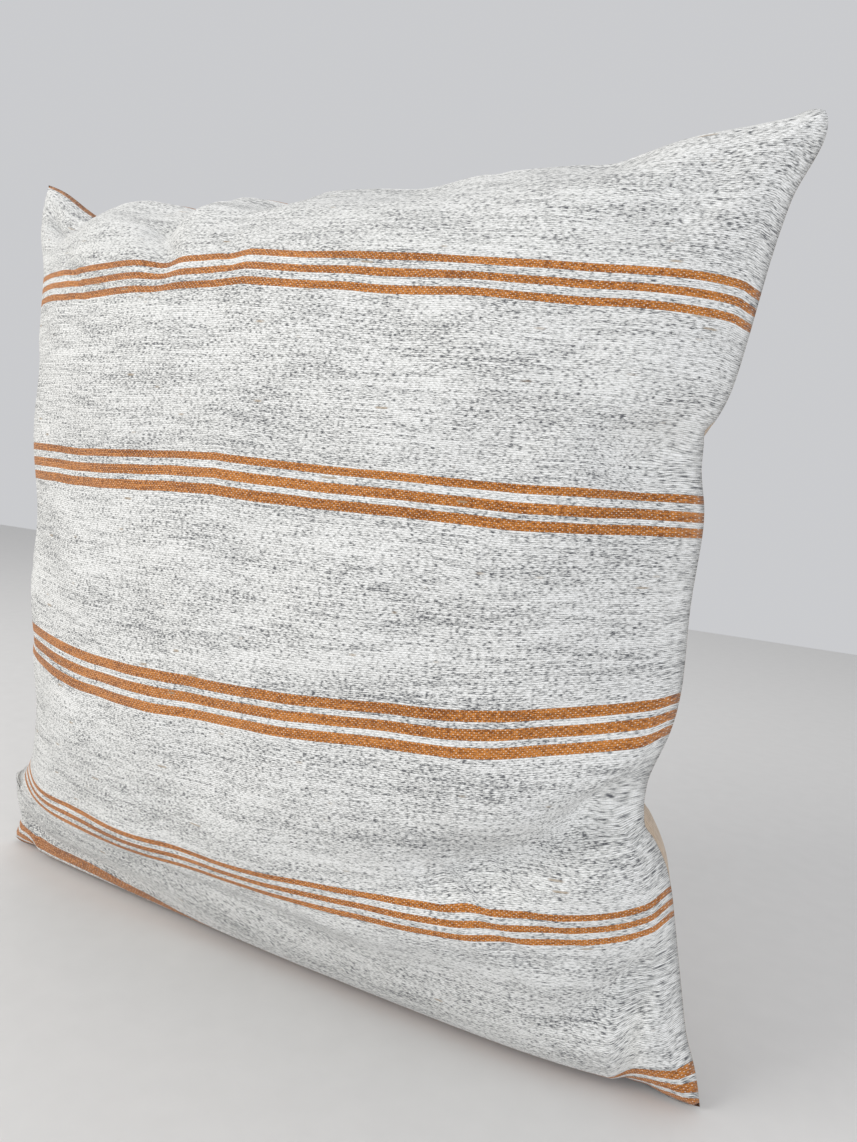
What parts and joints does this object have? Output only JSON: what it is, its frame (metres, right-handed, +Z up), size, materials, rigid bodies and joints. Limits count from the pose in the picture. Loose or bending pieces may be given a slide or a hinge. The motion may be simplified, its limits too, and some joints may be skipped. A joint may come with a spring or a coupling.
{
  "type": "throw pillow",
  "caption": "Square knife-edge throw pillow: a striped woven front and plain back cover with a zip in the lower seam, over a stuffed insert.",
  "frame": {"origin": "on the surface the pillow stands on, under the middle of its lower seam, in the seam plane", "axes": "+X along the lower seam to the right as the striped front is seen, -Y out of the striped front, +Z up"},
  "size_m": [0.496, 0.19, 0.472],
  "materials": {
    "striped_weave": "handwoven off-white cotton flecked with grey, with rust-orange stripes",
    "plain_cotton": "plain-woven tan cotton",
    "cotton_thread": "matte sewing thread",
    "zip_tape": "twill-woven polyester tape",
    "nylon_coil": "satin nylon",
    "zip_metal": "nickel-plated, lightly brushed",
    "insert_cloth": "white downproof cotton",
    "polyester_fibre": "loose white fibre"
  },
  "bodies": {
    "pillow": {"front_panel": "striped_weave", "back_panel": "plain_cotton", "seam_needle_thread": "cotton_thread", "seam_bobbin_thread": "cotton_thread", "overlock_thread": "cotton_thread", "zip_tape_front": "zip_tape", "zip_tape_back": "zip_tape", "zip_coil_front": "nylon_coil", "zip_coil_back": "nylon_coil", "zip_stitching_front": "cotton_thread", "zip_stitching_back": "cotton_thread", "zip_top_stops": "zip_metal", "zip_bottom_stop": "zip_metal", "insert_front_shell": "insert_cloth", "insert_back_shell": "insert_cloth", "insert_needle_thread": "cotton_thread", "insert_bobbin_thread": "cotton_thread", "insert_filling": "polyester_fibre"},
    "slider": {"zip_slider": "zip_metal"},
    "pull_tab": {"zip_pull_tab": "zip_metal"}
  },
  "joints": [
    {"name": "zip_slide", "type": "slide", "parent": "pillow", "child": "slider", "axis": [-1, 0, 0], "range_m": [0, 0.364]},
    {"name": "pull_swing", "type": "hinge", "parent": "slider", "child": "pull_tab", "pos_m": [0.18275, 0, 0.0039], "axis": [0, -1, 0], "range_deg": [0, 150]}
  ]
}
